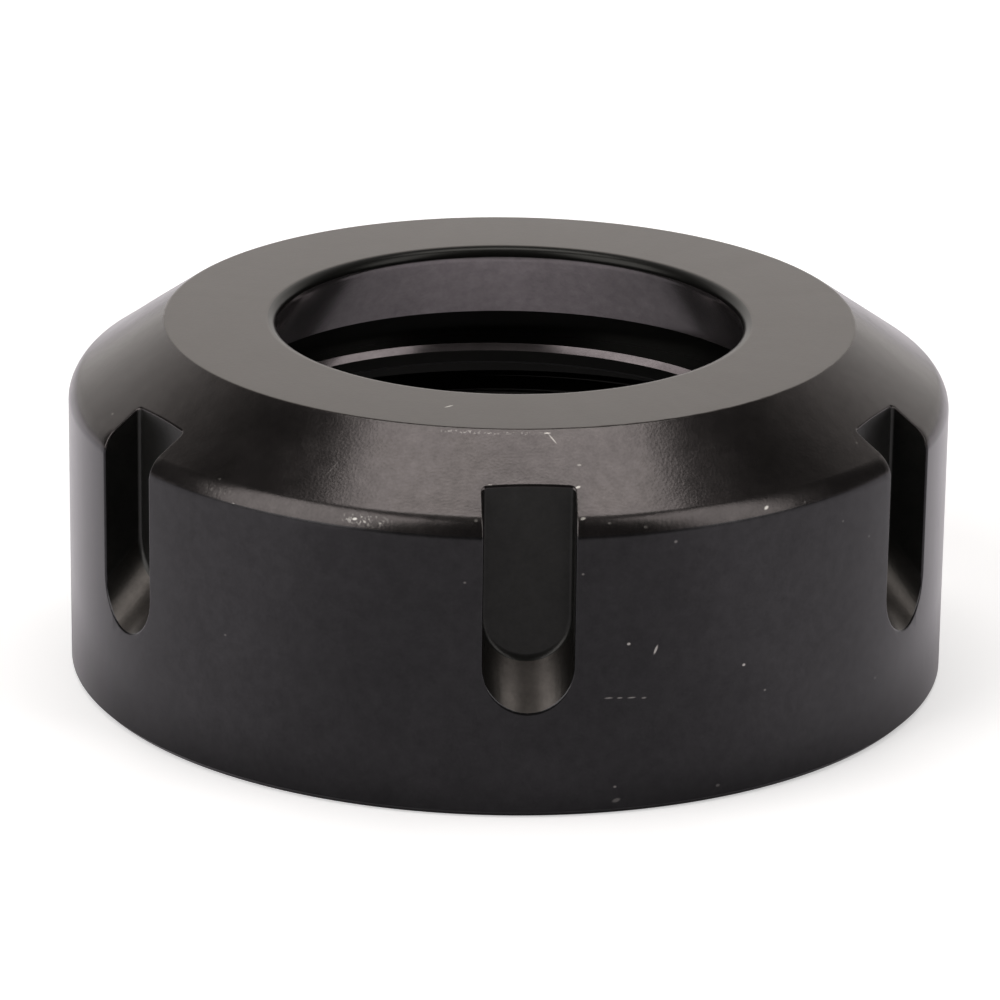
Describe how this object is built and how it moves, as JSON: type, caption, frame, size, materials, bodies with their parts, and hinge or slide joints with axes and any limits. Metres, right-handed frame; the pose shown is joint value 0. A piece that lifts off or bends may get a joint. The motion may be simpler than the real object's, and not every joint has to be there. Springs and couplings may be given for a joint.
{
  "type": "collet nut",
  "caption": "Round slotted clamping nut with an internal thread, a conical collet seat and an off-centre extraction lip.",
  "frame": {"origin": "on the nut's axis, in the plane of its threaded rear face, on which it stands", "axes": "+Z along the nut's axis towards its front face, -Y through the middle of one spanner slot"},
  "size_m": [0.063, 0.063, 0.0255],
  "materials": {
    "blackened_steel": "black oxide, satin, turned and milled"
  },
  "bodies": {
    "root": {"collet_nut": "blackened_steel"}
  },
  "joints": []
}
